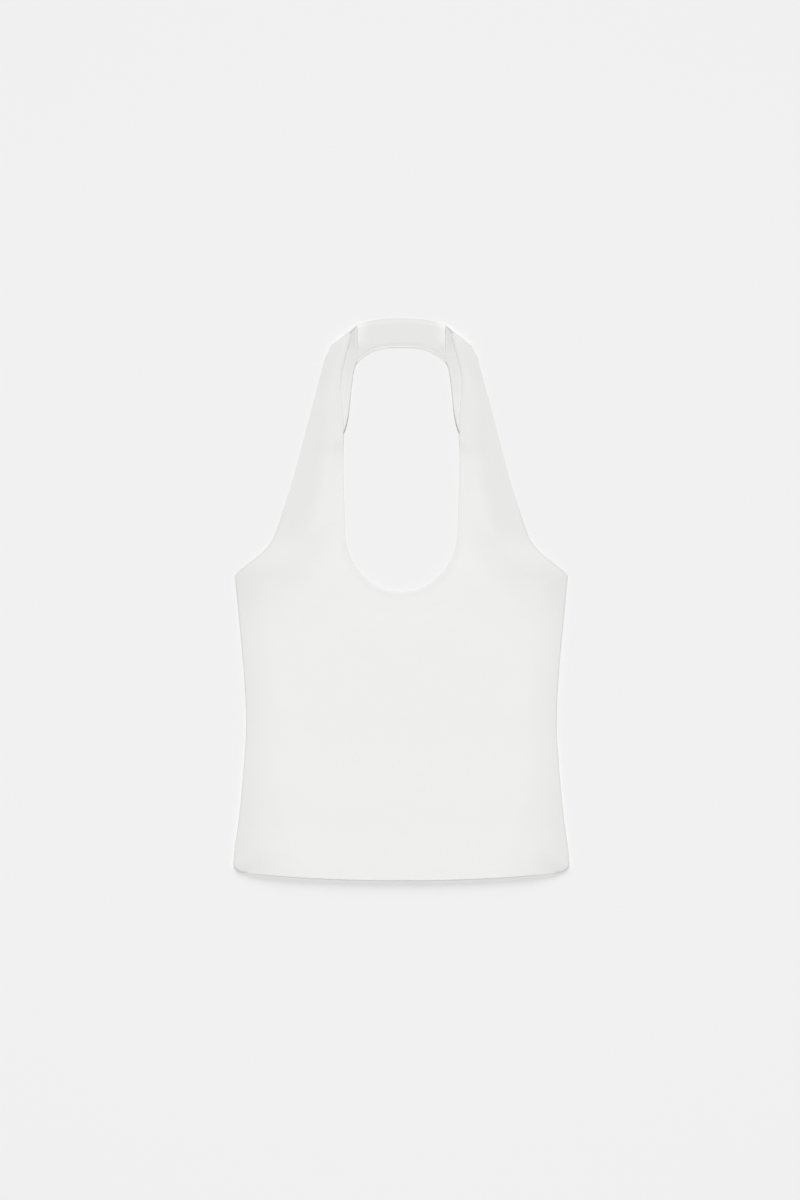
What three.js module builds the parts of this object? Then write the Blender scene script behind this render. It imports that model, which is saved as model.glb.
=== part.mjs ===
// Halter neck top, laid flat on its back on a table.
// Millimetres. +Z is up from the table, +Y points to the neck and +X to the right.
// The origin is on the table, under the middle of the garment's length and width.
//
// Three pieces are sewn together: a front whose two straps fold over at the shoulders,
// a back that ends under the arms, and a short band behind the neck.
// Every piece is symmetrical, so half of it is worked out and then mirrored.
// A place in the plan is written as across, from the centre line, and up, from the hem.

import * as THREE from 'three';
import { mergeVertices } from 'three/addons/utils/BufferGeometryUtils.js';

// Overall sizes
const LENGTH = 562.5;
const CLOTH = 1.2;
const SEAM_GAP = 0.3;

// Hem: a shallow curve with rounded corners
const HEM_RISE = 7.5;
const HEM_CORNER = { across: 155, width: 13, height: 9 };

// Side seam, from the hem's corner to the underarm
const SIDE_SEAM = [
  { up: 16.5, across: 168 },
  { up: 36.5, across: 166 },
  { up: 68.5, across: 161.6 },
  { up: 116.5, across: 157.3 },
  { up: 156.5, across: 155 },
  { up: 204.5, across: 157 },
  { up: 268.5, across: 162.7 },
  { up: 304.5, across: 166.3 },
];

// Neckline: the bottom of the scoop is half an ellipse
const SCOOP = { half: 56, depth: 60, centreUp: 348.5 };

// Armhole edge, paired with an angle round the scoop from its lowest point
const CHEST_ROWS = [
  { angle: 0, armAcross: 166.3, armUp: 304.5 },
  { angle: 15, armAcross: 163.2, armUp: 308.7 },
  { angle: 30, armAcross: 156, armUp: 315 },
  { angle: 45, armAcross: 147, armUp: 321.8 },
  { angle: 60, armAcross: 137.8, armUp: 329.8 },
  { angle: 75, armAcross: 129.6, armUp: 340.3 },
  { angle: 90, armAcross: 123.6, armUp: 354 },
];

// Strap, from the top of the scoop to the line where it folds at the shoulder.
// Its neck edge leaves the opening where its own return comes out from under it.
const STRAP_ROWS = [
  { neckAcross: 57, neckUp: 375, armAcross: 116.2, armUp: 376.5 },
  { neckAcross: 57.8, neckUp: 404, armAcross: 107.6, armUp: 404.5 },
  { neckAcross: 57.9, neckUp: 431, armAcross: 100.3, armUp: 432 },
  { neckAcross: 57.8, neckUp: 455, armAcross: 93.9, armUp: 456 },
  { neckAcross: 58.6, neckUp: 475, armAcross: 88.6, armUp: 476.5 },
  { neckAcross: 60.4, neckUp: 493, armAcross: 84.2, armUp: 492.5 },
  { neckAcross: 59, neckUp: 509, armAcross: 80.8, armUp: 504.5 },
  { neckAcross: 56.2, neckUp: 521.5, armAcross: 78.3, armUp: 513.5 },
  { neckAcross: 53.4, neckUp: 532, armAcross: 76.7, armUp: 519 },
  { neckAcross: 51.8, neckUp: 538.7, armAcross: 75.8, armUp: 522.3 },
  { neckAcross: 50.6, neckUp: 543.4, armAcross: 75.1, armUp: 524.4 },
];

// Shoulder fold: the strap rolls over this line and returns below itself
const FOLD_NECK_END = { across: 50.7, up: 548.3 };
const FOLD_ARM_END = { across: 71.5, up: 531.8 };
const FOLD_RADIUS = 1.5;
const FOLD_REACH = 25;

// How far the strap's two edges drift towards the neck as they go round the fold
const NECK_DRIFT = { halfway: 8.4, end: 8.3 };
const ARM_DRIFT = { halfway: 3.5, end: 5 };

// Neck band, and the seam at each end of it
const BAND = { half: 44, lowUp: 533, lowDrop: 15.1, topDrop: 5.6 };
const BAND_LIFT = 0.3;
const BAND_SEAM_RIDGE = { height: 1.4, width: 14, footUp: 527, footWidth: 12 };

// Edge of the strap's return: the rounded corner of the opening, then its tip under the strap
const RETURN_EDGE = [
  { across: 46.4, up: 513.5 },
  { across: 48.4, up: 503 },
  { across: 50.4, up: 487 },
  { across: 51.9, up: 470 },
  { across: 54.6, up: 455 },
  { across: 59.2, up: 442 },
];
const RETURN_HIDDEN_EDGE = [
  { across: 70.3, up: 517 },
  { across: 69.4, up: 500 },
  { across: 66.9, up: 480 },
  { across: 63.4, up: 460 },
];

// How the front lies: the heights of its outer edge and its crest, how wide the slope
// between them is, how far the edge is turned down to a side seam, from 0 to 1, and the height
// of its neck edge. The neck edge lies near the table, and further up on the strap's return.
const SEAM_HEIGHT = 1.9;
const FRONT_EDGE = SEAM_HEIGHT + SEAM_GAP / 2;
const ON_RETURN = CLOTH + SEAM_GAP + CLOTH;
const FRONT_LAY = [
  { up: 0, edge: FRONT_EDGE, crest: 5.3, slope: 44, turned: 1, neck: 2.4, neckSlope: 60 },
  { up: 60, edge: FRONT_EDGE, crest: 4.6, slope: 42, turned: 1, neck: 2.4, neckSlope: 60 },
  { up: 150, edge: FRONT_EDGE, crest: 3.8, slope: 30, turned: 1, neck: 2.4, neckSlope: 60 },
  { up: 304.5, edge: FRONT_EDGE, crest: 3.5, slope: 36, turned: 1, neck: 2.4, neckSlope: 50 },
  { up: 345, edge: CLOTH, crest: 2.5, slope: 36, turned: 0, neck: CLOTH, neckSlope: 26 },
  { up: 380, edge: CLOTH, crest: 2.3, slope: 32, turned: 0, neck: CLOTH, neckSlope: 20 },
  { up: 424, edge: CLOTH, crest: 2.4, slope: 27, turned: 0, neck: CLOTH, neckSlope: 16 },
  { up: 443, edge: CLOTH, crest: 2.9, slope: 24, turned: 0, neck: ON_RETURN, neckSlope: 10 },
  { up: 476, edge: 1.5, crest: 3, slope: 15, turned: 0, neck: ON_RETURN, neckSlope: 8 },
  { up: 530, edge: 2.9, crest: 3, slope: 14, turned: 0, neck: ON_RETURN, neckSlope: 7 },
];
const FLAT_EDGE = 4;
const SIDE_TURN = { share: 0.34, width: 0.06 };
const LEAN_POWER = 0.6;

// Back: its flat underside turns up to the side seam, and its top edge dips between the arms
const BACK_EDGE = SEAM_HEIGHT - SEAM_GAP / 2;
const BACK_TURN = 9;
const BACK_TOP_UP = 250;

// Fineness of the pieces
const SIDE_STEPS = 11;
const CORNER_STEPS = 3;
const ROWS_PER_SECTION = 2;
const FOLD_STEPS = 6;
const RETURN_STEPS = 6;
const BAND_STEPS = { across: 10, up: 5 };
const EDGE_COLUMNS = [0, 2.5, 6];
const MIDDLE_COLUMNS = 3;
const SLOPE_COLUMNS = 5;

const RIGHT_ANGLE = Math.PI / 2;

function mix(from, to, share) {
  return from + (to - from) * share;
}

function ease(share) {
  const s = THREE.MathUtils.clamp(share, 0, 1);
  return s * s * (3 - 2 * s);
}

// The height of a round edge, as a share, at a share of its width in from its foot
function roundRise(share) {
  return Math.sqrt(1 - (1 - Math.min(share, 1)) ** 2);
}

// The height of the side, as a share: a small round turn, and then a slope that levels out
function sideRise(share) {
  const levelling = 1 - (1 - share) ** 2;
  return mix(levelling, roundRise(share / SIDE_TURN.width), SIDE_TURN.share);
}

function planMix(from, to, share) {
  return { across: mix(from.across, to.across, share), up: mix(from.up, to.up, share) };
}

function planLength(from, to) {
  return Math.hypot(to.across - from.across, to.up - from.up);
}

// A smooth curve through places in the plan, read with a share from 0 to 1
function planCurve(places) {
  const points = places.map((place) => new THREE.Vector3(place.across, place.up, 0));
  const curve = new THREE.CatmullRomCurve3(points, false, 'catmullrom', 0.5);
  return (share) => {
    const point = curve.getPoint(share);
    return { across: point.x, up: point.y };
  };
}

function tableRow(table, up) {
  const high = table.findIndex((row) => row.up > up);
  if (high === 0) {
    return table[0];
  }
  if (high < 0) {
    return table[table.length - 1];
  }
  const low = table[high - 1];
  const share = ease((up - low.up) / (table[high].up - low.up));
  const result = {};
  for (const key of Object.keys(low)) {
    result[key] = mix(low[key], table[high][key], share);
  }
  return result;
}

// Outlines of the front, as pairs of places on its inner and outer boundaries

function hemCorner(angle) {
  return {
    across: HEM_CORNER.across + HEM_CORNER.width * Math.sin(angle),
    up: HEM_RISE + HEM_CORNER.height * (1 - Math.cos(angle)),
  };
}

function scoopPlace(angle) {
  return {
    across: SCOOP.half * Math.sin(angle),
    up: SCOOP.centreUp - SCOOP.depth * Math.cos(angle),
  };
}

// The lower rows run from the centre line to the side seam
function bodySpans(topUp) {
  const spans = [];
  const cornerTop = HEM_RISE + HEM_CORNER.height;
  const centreStart = cornerTop - HEM_RISE / 2;
  for (let step = 0; step < CORNER_STEPS; step++) {
    const share = step / CORNER_STEPS;
    const inner = { across: 0, up: centreStart * share * share };
    spans.push({ inner, outer: hemCorner(share * RIGHT_ANGLE) });
  }
  const side = planCurve(SIDE_SEAM);
  const armpitUp = SIDE_SEAM[SIDE_SEAM.length - 1].up;
  for (let step = 0; step <= SIDE_STEPS; step++) {
    const outer = side(step / SIDE_STEPS);
    const share = (outer.up - cornerTop) / (armpitUp - cornerTop);
    spans.push({ inner: { across: 0, up: mix(centreStart, topUp, share) }, outer });
  }
  return spans;
}

// The upper rows run from the neckline to the armhole edge
function chestSpans() {
  const neckPlaces = [];
  const armPlaces = [];
  for (const row of CHEST_ROWS) {
    neckPlaces.push(scoopPlace(THREE.MathUtils.degToRad(row.angle)));
    armPlaces.push({ across: row.armAcross, up: row.armUp });
  }
  for (const row of STRAP_ROWS) {
    neckPlaces.push({ across: row.neckAcross, up: row.neckUp });
    armPlaces.push({ across: row.armAcross, up: row.armUp });
  }
  neckPlaces.push(FOLD_NECK_END);
  armPlaces.push(FOLD_ARM_END);
  const neck = planCurve(neckPlaces);
  const arm = planCurve(armPlaces);
  const steps = (neckPlaces.length - 1) * ROWS_PER_SECTION;
  const spans = [];
  for (let step = 1; step <= steps; step++) {
    spans.push({ inner: neck(step / steps), outer: arm(step / steps) });
  }
  return spans;
}

function distanceTo(places, place) {
  let nearest = Infinity;
  for (let i = 1; i < places.length; i++) {
    const from = places[i - 1];
    const run = planLength(from, places[i]);
    const alongAcross = (places[i].across - from.across) / run;
    const alongUp = (places[i].up - from.up) / run;
    const along = (place.across - from.across) * alongAcross + (place.up - from.up) * alongUp;
    const foot = planMix(from, places[i], THREE.MathUtils.clamp(along / run, 0, 1));
    nearest = Math.min(nearest, planLength(foot, place));
  }
  return nearest;
}

const lowerSpans = bodySpans(SCOOP.centreUp - SCOOP.depth);
const upperSpans = chestSpans();
const outerEdge = [...lowerSpans, ...upperSpans].map((span) => span.outer);
const neckEdge = [lowerSpans[lowerSpans.length - 1], ...upperSpans].map((span) => span.inner);

// The fold line's own directions: towards the neck along it, and out across it
const foldLength = planLength(FOLD_ARM_END, FOLD_NECK_END);
const foldAlong = {
  across: (FOLD_NECK_END.across - FOLD_ARM_END.across) / foldLength,
  up: (FOLD_NECK_END.up - FOLD_ARM_END.up) / foldLength,
};
const foldOut = { across: foldAlong.up, up: -foldAlong.across };

function beyondFold(place) {
  return (place.across - FOLD_ARM_END.across) * foldOut.across
    + (place.up - FOLD_ARM_END.up) * foldOut.up;
}

// The cloth's upper and lower points at one place, where back is the way along the row from
// the outer edge inwards, and lean is the angle from the wall's inset to straight down
function wallAt(place, height, lean, back) {
  const inset = CLOTH * Math.cos(lean);
  const y = place.up - LENGTH / 2;
  return {
    upper: new THREE.Vector3(place.across, y, height),
    lower: new THREE.Vector3(
      place.across + back.across * inset,
      y + back.up * inset,
      height - CLOTH * Math.sin(lean),
    ),
  };
}

// Shares along a row, closer together near the neck edge and down the outer slope
function columnShares(length, slope) {
  const slopeWidth = Math.min(slope, length * 0.6);
  const shares = EDGE_COLUMNS.map((distance) => distance / length);
  const start = EDGE_COLUMNS[EDGE_COLUMNS.length - 1];
  for (let step = 1; step <= MIDDLE_COLUMNS; step++) {
    shares.push(mix(start, length - slopeWidth, step / MIDDLE_COLUMNS) / length);
  }
  for (let step = 1; step <= SLOPE_COLUMNS; step++) {
    const angle = RIGHT_ANGLE * (1 - step / SLOPE_COLUMNS);
    shares.push(1 - slopeWidth * (1 - Math.cos(angle)) / length);
  }
  return shares;
}

// A row's height follows the square of its share, so the hem and the back's top edge curve
function placesOnSpan(span, slope, bend) {
  const length = planLength(span.inner, span.outer);
  const back = {
    across: (span.inner.across - span.outer.across) / length,
    up: (span.inner.up - span.outer.up) / length,
  };
  const places = columnShares(length, slope).map((share) => ({
    across: mix(span.inner.across, span.outer.across, share),
    up: mix(span.inner.up, span.outer.up, share ** bend),
  }));
  return { places, back };
}

function frontPoint(place, back) {
  const lay = tableRow(FRONT_LAY, place.up);
  const slopeShare = Math.min(distanceTo(outerEdge, place) / lay.slope, 1);
  const flatShare = FLAT_EDGE / lay.slope;
  const freeRise = ease((slopeShare - flatShare) / (1 - flatShare));
  const rise = mix(freeRise, sideRise(slopeShare), lay.turned);
  const outerHeight = mix(lay.edge, lay.crest, rise);
  const neckRise = ease(distanceTo(neckEdge, place) / lay.neckSlope);
  const laid = mix(lay.neck, outerHeight, neckRise);
  const foldShare = ease(1 + beyondFold(place) / FOLD_REACH);
  const height = mix(laid, 2 * FOLD_RADIUS, foldShare);
  const leastLean = RIGHT_ANGLE * (1 - lay.turned);
  const turn = (Math.acos(1 - slopeShare) / RIGHT_ANGLE) ** LEAN_POWER;
  return wallAt(place, height, mix(leastLean, RIGHT_ANGLE, turn), back);
}

function frontRow(span, bend) {
  const slope = tableRow(FRONT_LAY, span.outer.up).slope;
  const { places, back } = placesOnSpan(span, slope, bend);
  return places.map((place) => frontPoint(place, back));
}

// The strap's half turn over the fold line

function drift(amounts, turn) {
  const sine = Math.sin(turn);
  return turn < RIGHT_ANGLE ? amounts.halfway * sine : mix(amounts.end, amounts.halfway, sine);
}

function foldEnds(turn) {
  const reach = FOLD_RADIUS * Math.sin(turn);
  const shifted = (end, amounts) => ({
    across: end.across + foldAlong.across * drift(amounts, turn) + foldOut.across * reach,
    up: end.up + foldAlong.up * drift(amounts, turn) + foldOut.up * reach,
  });
  return {
    neck: shifted(FOLD_NECK_END, NECK_DRIFT),
    arm: shifted(FOLD_ARM_END, ARM_DRIFT),
  };
}

function foldRow(turn, shares) {
  const ends = foldEnds(turn);
  const reach = CLOTH * Math.sin(turn);
  return shares.map((share) => {
    const place = planMix(ends.neck, ends.arm, share);
    const y = place.up - LENGTH / 2;
    const height = FOLD_RADIUS * (1 + Math.cos(turn));
    return {
      upper: new THREE.Vector3(place.across, y, height),
      lower: new THREE.Vector3(
        place.across - foldOut.across * reach,
        y - foldOut.up * reach,
        height - CLOTH * Math.cos(turn),
      ),
    };
  });
}

// The strap's return lies on the table, from the fold to the neck band's seam.
// It is a patch between four edges: the fold, the seam, the visible edge and the hidden one.
function returnRows(shares) {
  const ends = foldEnds(Math.PI);
  const seamTop = { across: ends.neck.across, up: ends.neck.up };
  const seamAcross = BAND.half + SEAM_GAP / 2;
  const seamFoot = { across: seamAcross, up: bandLowUp(seamAcross) };
  const tip = RETURN_EDGE[RETURN_EDGE.length - 1];
  const visible = planCurve([seamFoot, ...RETURN_EDGE]);
  const hidden = planCurve([ends.arm, ...RETURN_HIDDEN_EDGE, tip]);
  const rows = [];
  for (let step = 1; step <= RETURN_STEPS; step++) {
    const down = step / RETURN_STEPS;
    rows.push(shares.map((share) => {
      const fromFold = planMix(planMix(ends.neck, ends.arm, share), visible(share), down);
      const fromSeam = planMix(planMix(seamTop, seamFoot, down), hidden(down), share);
      const corners = planMix(
        planMix(ends.neck, ends.arm, share),
        planMix(seamFoot, tip, share),
        down,
      );
      const x = fromFold.across + fromSeam.across - corners.across;
      const y = fromFold.up + fromSeam.up - corners.up - LENGTH / 2;
      return { upper: new THREE.Vector3(x, y, 0), lower: new THREE.Vector3(x, y, CLOTH) };
    }));
  }
  return rows;
}

// Edges of the neck band

function bandLowUp(across) {
  return BAND.lowUp - BAND.lowDrop * Math.abs(across / BAND.half) ** 3;
}

function bandTopUp(across) {
  return LENGTH - BAND.topDrop * (across / BAND.half) ** 2;
}

// Closed walls, from rows of pairs of points. Past the fold, upper is the side that has
// turned under.

// Half of a wall. The rows before openFrom start on the centre line, where the two halves
// join, and the others start on a free edge.
function halfWall(rows, openFrom) {
  const corners = [];
  const quad = (a, b, c, d) => corners.push(a, b, c, a, c, d);
  const lastRow = rows.length - 1;
  const lastColumn = rows[0].length - 1;
  for (let i = 0; i < lastRow; i++) {
    const low = rows[i];
    const high = rows[i + 1];
    for (let j = 0; j < lastColumn; j++) {
      quad(low[j].upper, low[j + 1].upper, high[j + 1].upper, high[j].upper);
      quad(low[j].lower, high[j].lower, high[j + 1].lower, low[j + 1].lower);
    }
    const outerLow = low[lastColumn];
    const outerHigh = high[lastColumn];
    quad(outerLow.upper, outerLow.lower, outerHigh.lower, outerHigh.upper);
    if (i >= openFrom) {
      quad(high[0].upper, high[0].lower, low[0].lower, low[0].upper);
    }
  }
  for (let j = 0; j < lastColumn; j++) {
    const hem = rows[0];
    const end = rows[lastRow];
    quad(hem[j].upper, hem[j].lower, hem[j + 1].lower, hem[j + 1].upper);
    quad(end[j + 1].upper, end[j + 1].lower, end[j].lower, end[j].upper);
  }
  return corners;
}

function mirroredWall(rows, openFrom) {
  const right = halfWall(rows, openFrom);
  const positions = right.flatMap((point) => [point.x, point.y, point.z]);
  for (let i = 0; i < right.length; i += 3) {
    for (const point of [right[i + 2], right[i + 1], right[i]]) {
      positions.push(-point.x, point.y, point.z);
    }
  }
  const loose = new THREE.BufferGeometry();
  loose.setAttribute('position', new THREE.Float32BufferAttribute(positions, 3));
  const geometry = mergeVertices(loose, 0.0001);
  geometry.computeVertexNormals();
  return geometry;
}

// Front: the body, the two straps, their folds and their returns are one cut piece
function frontGeometry() {
  const body = lowerSpans.map((span) => frontRow(span, 2));
  const chest = upperSpans.map((span, i) => frontRow(span, 2 - ease(i / upperSpans.length)));
  const foldSlope = tableRow(FRONT_LAY, FOLD_ARM_END.up).slope;
  const shares = columnShares(foldLength, foldSlope);
  const fold = [];
  for (let step = 1; step <= FOLD_STEPS; step++) {
    fold.push(foldRow(Math.PI * step / FOLD_STEPS, shares));
  }
  return mirroredWall([...body, ...chest, ...fold, ...returnRows(shares)], body.length - 1);
}

// Back: the same outline as the front up to the underarm. Its outer face is underneath.
function backPoint(place, back) {
  const turnShare = Math.min(distanceTo(outerEdge, place) / BACK_TURN, 1);
  const rise = roundRise(turnShare);
  const under = BACK_EDGE * (1 - rise);
  const inset = CLOTH * (1 - turnShare);
  const y = place.up - LENGTH / 2;
  return {
    upper: new THREE.Vector3(
      place.across + back.across * inset,
      y + back.up * inset,
      under + CLOTH * rise,
    ),
    lower: new THREE.Vector3(place.across, y, under),
  };
}

function backGeometry() {
  const rows = bodySpans(BACK_TOP_UP).map((span) => {
    const { places, back } = placesOnSpan(span, BACK_TURN, 2);
    return places.map((place) => backPoint(place, back));
  });
  return mirroredWall(rows, rows.length);
}

// Neck band: its lower edge stands a little off the table, and it is thicker at its seams
function bandRow(share) {
  const row = [];
  const half = BAND.half - SEAM_GAP / 2;
  for (let column = 0; column <= BAND_STEPS.across; column++) {
    const across = half * Math.sin(RIGHT_ANGLE * column / BAND_STEPS.across);
    const up = mix(bandLowUp(across), bandTopUp(across), share);
    const lift = BAND_LIFT * (1 - share) ** 2 * (1 - (across / half) ** 4);
    const nearSeam = ease(1 - (half - across) / BAND_SEAM_RIDGE.width);
    const aboveFoot = ease((up - BAND_SEAM_RIDGE.footUp) / BAND_SEAM_RIDGE.footWidth);
    const thickness = CLOTH + BAND_SEAM_RIDGE.height * nearSeam * aboveFoot;
    row.push({
      upper: new THREE.Vector3(across, up - LENGTH / 2, lift + thickness),
      lower: new THREE.Vector3(across, up - LENGTH / 2, lift),
    });
  }
  return row;
}

function bandGeometry() {
  const rows = [];
  for (let step = 0; step <= BAND_STEPS.up; step++) {
    rows.push(bandRow(step / BAND_STEPS.up));
  }
  return mirroredWall(rows, rows.length);
}

function piece(name, geometry, colour) {
  const material = new THREE.MeshStandardMaterial({ color: colour, roughness: 0.92, metalness: 0 });
  const mesh = new THREE.Mesh(geometry, material);
  mesh.name = name;
  return mesh;
}

const halterTop = new THREE.Group();
halterTop.add(piece('front_panel', frontGeometry(), 0xeeefec));
halterTop.add(piece('back_panel', backGeometry(), 0xebece9));
halterTop.add(piece('neck_band', bandGeometry(), 0xe8e8e5));

export default halterTop;
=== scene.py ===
# Halter neck top in stretch jersey, laid flat on its back: the fine cloth, its seams, its finish
# and a plain studio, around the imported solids.
# The cut is drawn in millimetres, as places across from the centre line and up from the hem.
# Half of each piece is worked out and then mirrored. Meshes are in metres, +Z up.

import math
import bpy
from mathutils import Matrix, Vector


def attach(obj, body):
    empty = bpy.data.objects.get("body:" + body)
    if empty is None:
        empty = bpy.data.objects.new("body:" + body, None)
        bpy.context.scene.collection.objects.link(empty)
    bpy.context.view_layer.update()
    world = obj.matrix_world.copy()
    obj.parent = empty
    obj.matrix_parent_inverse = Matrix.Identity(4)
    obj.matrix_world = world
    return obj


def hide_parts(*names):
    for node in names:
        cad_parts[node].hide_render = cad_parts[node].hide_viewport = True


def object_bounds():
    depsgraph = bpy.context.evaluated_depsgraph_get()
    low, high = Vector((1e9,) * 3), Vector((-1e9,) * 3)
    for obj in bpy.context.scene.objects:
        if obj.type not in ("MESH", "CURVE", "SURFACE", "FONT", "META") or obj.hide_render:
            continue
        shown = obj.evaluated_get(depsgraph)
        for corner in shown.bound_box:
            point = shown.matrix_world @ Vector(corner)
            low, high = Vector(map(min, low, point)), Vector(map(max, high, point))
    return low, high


bl_info = {
    "name": "Halter Neck Top",
    "version": (1, 0, 0),
    "blender": (4, 5, 0),
    "location": "View3D > Sidebar > Halter Top",
    "description": "Builds a halter neck top in stretch jersey, laid flat on a pale floor",
    "category": "Object",
}

from collections import namedtuple

import bmesh
import bpy
import numpy as np
from bpy.props import FloatProperty, FloatVectorProperty, IntProperty, PointerProperty
from mathutils import Vector

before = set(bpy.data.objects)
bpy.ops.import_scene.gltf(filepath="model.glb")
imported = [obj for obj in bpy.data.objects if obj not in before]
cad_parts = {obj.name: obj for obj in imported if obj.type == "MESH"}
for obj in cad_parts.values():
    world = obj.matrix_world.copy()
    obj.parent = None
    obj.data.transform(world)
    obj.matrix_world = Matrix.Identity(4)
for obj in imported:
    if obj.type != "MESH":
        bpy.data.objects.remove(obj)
CAD_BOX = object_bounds()

MM = 0.001
RIGHT_ANGLE = math.pi / 2

# Overall sizes, in millimetres
LENGTH = (CAD_BOX[1].y - CAD_BOX[0].y) / MM
CLOTH = 1.2
SEAM_GAP = 0.3

# Hem: a shallow curve with rounded corners
HEM_RISE = 7.5
HemCorner = namedtuple("HemCorner", "across width height")
HEM_CORNER = HemCorner(across=155, width=13, height=9)

# Side seam, from the hem's corner to the underarm: across, up
SIDE_SEAM = [
    (168.0, 16.5),
    (166.0, 36.5),
    (161.6, 68.5),
    (157.3, 116.5),
    (155.0, 156.5),
    (157.0, 204.5),
    (162.7, 268.5),
    (166.3, 304.5),
]

# Neckline: the bottom of the scoop is half an ellipse
Scoop = namedtuple("Scoop", "half depth centre_up")
SCOOP = Scoop(half=56, depth=60, centre_up=348.5)

# Armhole edge beside the scoop: angle round the scoop, arm edge across, arm edge up
CHEST_ROWS = [
    (0, 166.3, 304.5),
    (15, 163.2, 308.7),
    (30, 156.0, 315.0),
    (45, 147.0, 321.8),
    (60, 137.8, 329.8),
    (75, 129.6, 340.3),
    (90, 123.6, 354.0),
]

# Strap: neck edge across and up, arm edge across and up. Its neck edge leaves the opening
# where its own return comes out from under it.
STRAP_ROWS = [
    (57.0, 375.0, 116.2, 376.5),
    (57.8, 404.0, 107.6, 404.5),
    (57.9, 431.0, 100.3, 432.0),
    (57.8, 455.0, 93.9, 456.0),
    (58.6, 475.0, 88.6, 476.5),
    (60.4, 493.0, 84.2, 492.5),
    (59.0, 509.0, 80.8, 504.5),
    (56.2, 521.5, 78.3, 513.5),
    (53.4, 532.0, 76.7, 519.0),
    (51.8, 538.7, 75.8, 522.3),
    (50.6, 543.4, 75.1, 524.4),
]

# Shoulder fold: the strap rolls over this line and returns below itself
FOLD_NECK_END = (50.7, 548.3)
FOLD_ARM_END = (71.5, 531.8)
FOLD_RADIUS = 1.5
FOLD_REACH = 25.0

# How far the strap's two edges drift towards the neck as they go round the fold
Drift = namedtuple("Drift", "halfway end")
NECK_DRIFT = Drift(halfway=8.4, end=8.3)
ARM_DRIFT = Drift(halfway=3.5, end=5.0)

# Neck band, and the raised seam at each end of it
Band = namedtuple("Band", "half low_up low_drop top_drop lift")
BAND = Band(half=44.0, low_up=533.0, low_drop=15.1, top_drop=5.6, lift=0.05)
Ridge = namedtuple("Ridge", "height width foot_up foot_width")
BAND_SEAM_RIDGE = Ridge(height=1.4, width=14.0, foot_up=527.0, foot_width=12.0)

# Edge of the strap's return: the rounded corner of the opening, then its tip under the strap
RETURN_EDGE = [
    (46.4, 513.5),
    (48.4, 503.0),
    (50.4, 487.0),
    (51.9, 470.0),
    (54.6, 455.0),
    (59.2, 442.0),
]
RETURN_HIDDEN_EDGE = [(70.3, 517.0), (69.4, 500.0), (66.9, 480.0), (63.4, 460.0)]

# How the front lies: the heights of its outer edge and its crest, how wide the slope between
# them is, how far the edge is turned down to a side seam, from 0 to 1, and the height of its
# neck edge. The neck edge lies near the table, and further up on the strap's return.
SEAM_HEIGHT = 1.9
FRONT_EDGE = SEAM_HEIGHT + SEAM_GAP / 2
ON_RETURN = CLOTH + SEAM_GAP + CLOTH
Lay = namedtuple("Lay", "up edge crest slope turned neck neck_slope")
FRONT_LAY = [
    Lay(0, FRONT_EDGE, 5.3, 44, 1, 2.4, 60),
    Lay(60, FRONT_EDGE, 4.6, 42, 1, 2.4, 60),
    Lay(150, FRONT_EDGE, 3.8, 30, 1, 2.4, 60),
    Lay(304.5, FRONT_EDGE, 3.5, 36, 1, 2.4, 50),
    Lay(345, CLOTH, 2.5, 36, 0, CLOTH, 26),
    Lay(380, CLOTH, 2.3, 32, 0, CLOTH, 20),
    Lay(424, CLOTH, 2.4, 27, 0, CLOTH, 16),
    Lay(443, CLOTH, 2.9, 24, 0, ON_RETURN, 10),
    Lay(476, 1.5, 3, 15, 0, ON_RETURN, 8),
    Lay(530, 2.9, 3, 14, 0, ON_RETURN, 7),
]
FLAT_EDGE = 4.0
SideTurn = namedtuple("SideTurn", "share width")
SIDE_TURN = SideTurn(share=0.34, width=0.06)
LEAN_POWER = 0.6

# Painted shade, as shares taken off the cloth's colour. Beside the side seams the painted shade
# is darkest at the seam, and the shaded part is wider near the hem.
SidePaintedShade = namedtuple("SidePaintedShade", "full width hem_full hem_width hem_reach top fade")
SIDE_PAINTED_SHADE = SidePaintedShade(0.06, 34.0, 0.08, 62.0, 150.0, 300.0, 30.0)
SIDE_POWER = 1.3

# Painted shade along the straps: the outer part is painted darker than the inner one lower down
StrapPaintedShade = namedtuple("StrapPaintedShade", "inner inner_start inner_fade outer outer_start outer_fade")
STRAP_PAINTED_SHADE = StrapPaintedShade(0.036, 392.0, 75.0, 0.06, 286.0, 80.0)
OUTER_PART = 0.6

# Painted shade on the chest, beside the scoop's edge and beside the armholes
ChestPaintedShade = namedtuple("ChestPaintedShade", "full start rise top fade width falloff")
CHEST_PAINTED_SHADE = ChestPaintedShade(0.042, 240.0, 70.0, 335.0, 30.0, 30.0, 35.0)
ScoopPaintedShade = namedtuple("ScoopPaintedShade", "full width top fade")
SCOOP_PAINTED_SHADE = ScoopPaintedShade(0.05, 9.0, 325.0, 30.0)
ArmPaintedShade = namedtuple("ArmPaintedShade", "full width start rise top fade")
ARM_PAINTED_SHADE = ArmPaintedShade(0.09, 3.0, 298.0, 14.0, 345.0, 50.0)

# Painted shade on the return: darker towards the fold and in the pocket beside the neck band,
# with painted light at its own edge and below the strap's edge
ReturnPaintedShade = namedtuple("ReturnPaintedShade", "low high start rise")
RETURN_PAINTED_SHADE = ReturnPaintedShade(0.018, 0.07, 478.0, 50.0)
PaintedEdgeLight = namedtuple("PaintedEdgeLight", "full width")
RETURN_EDGE_PAINTED_LIGHT = PaintedEdgeLight(0.095, 3.0)
BELOW_STRAP_PAINTED_LIGHT = PaintedEdgeLight(0.03, 2.0)
PocketPaintedShade = namedtuple("PocketPaintedShade", "full start fade")
POCKET_PAINTED_SHADE = PocketPaintedShade(0.058, 526.0, 14.0)

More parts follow.
